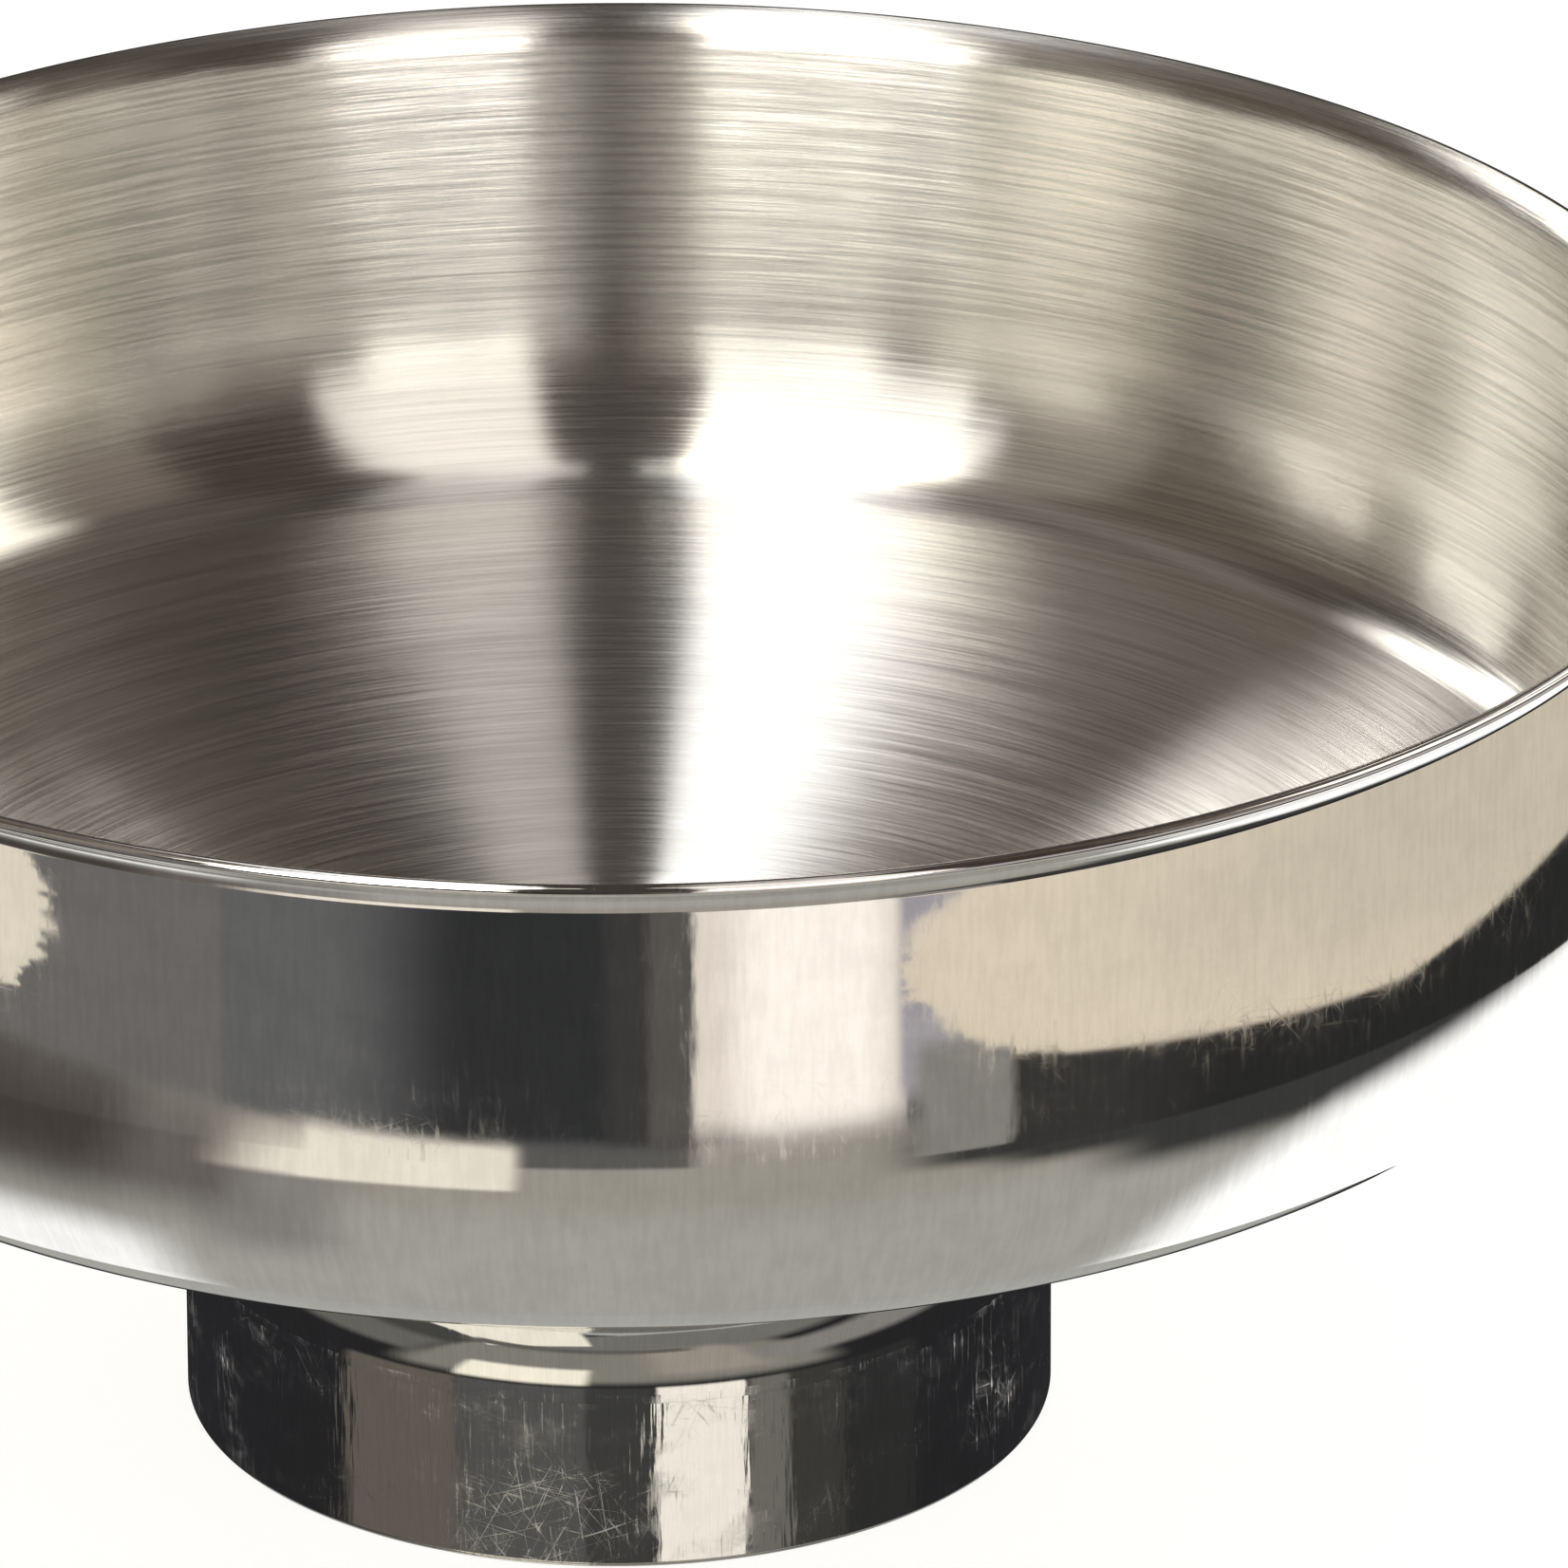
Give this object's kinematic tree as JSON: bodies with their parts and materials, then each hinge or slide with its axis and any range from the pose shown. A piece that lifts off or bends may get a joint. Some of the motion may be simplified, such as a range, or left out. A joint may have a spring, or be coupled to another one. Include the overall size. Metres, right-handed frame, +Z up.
{
  "type": "canning funnel",
  "caption": "Wide-mouth steel canning funnel: upright-walled bowl with a flared lip, rounded knee, sloping floor and a short straight spout.",
  "frame": {"origin": "centre of the spout's lower edge, on the surface that the funnel stands on", "axes": "+Z up along the funnel's axis, out of the bowl; X and Y are any two directions across it"},
  "size_m": [0.14, 0.14, 0.0662],
  "materials": {
    "bowl_steel": "stainless steel, brushed round inside and mirror polished outside",
    "weld_steel": "weld ground flush and polished",
    "spout_steel": "stainless steel, polished over fine upright scratches"
  },
  "bodies": {
    "root": {"bowl": "bowl_steel", "neck_weld": "weld_steel", "spout": "spout_steel"}
  },
  "joints": []
}
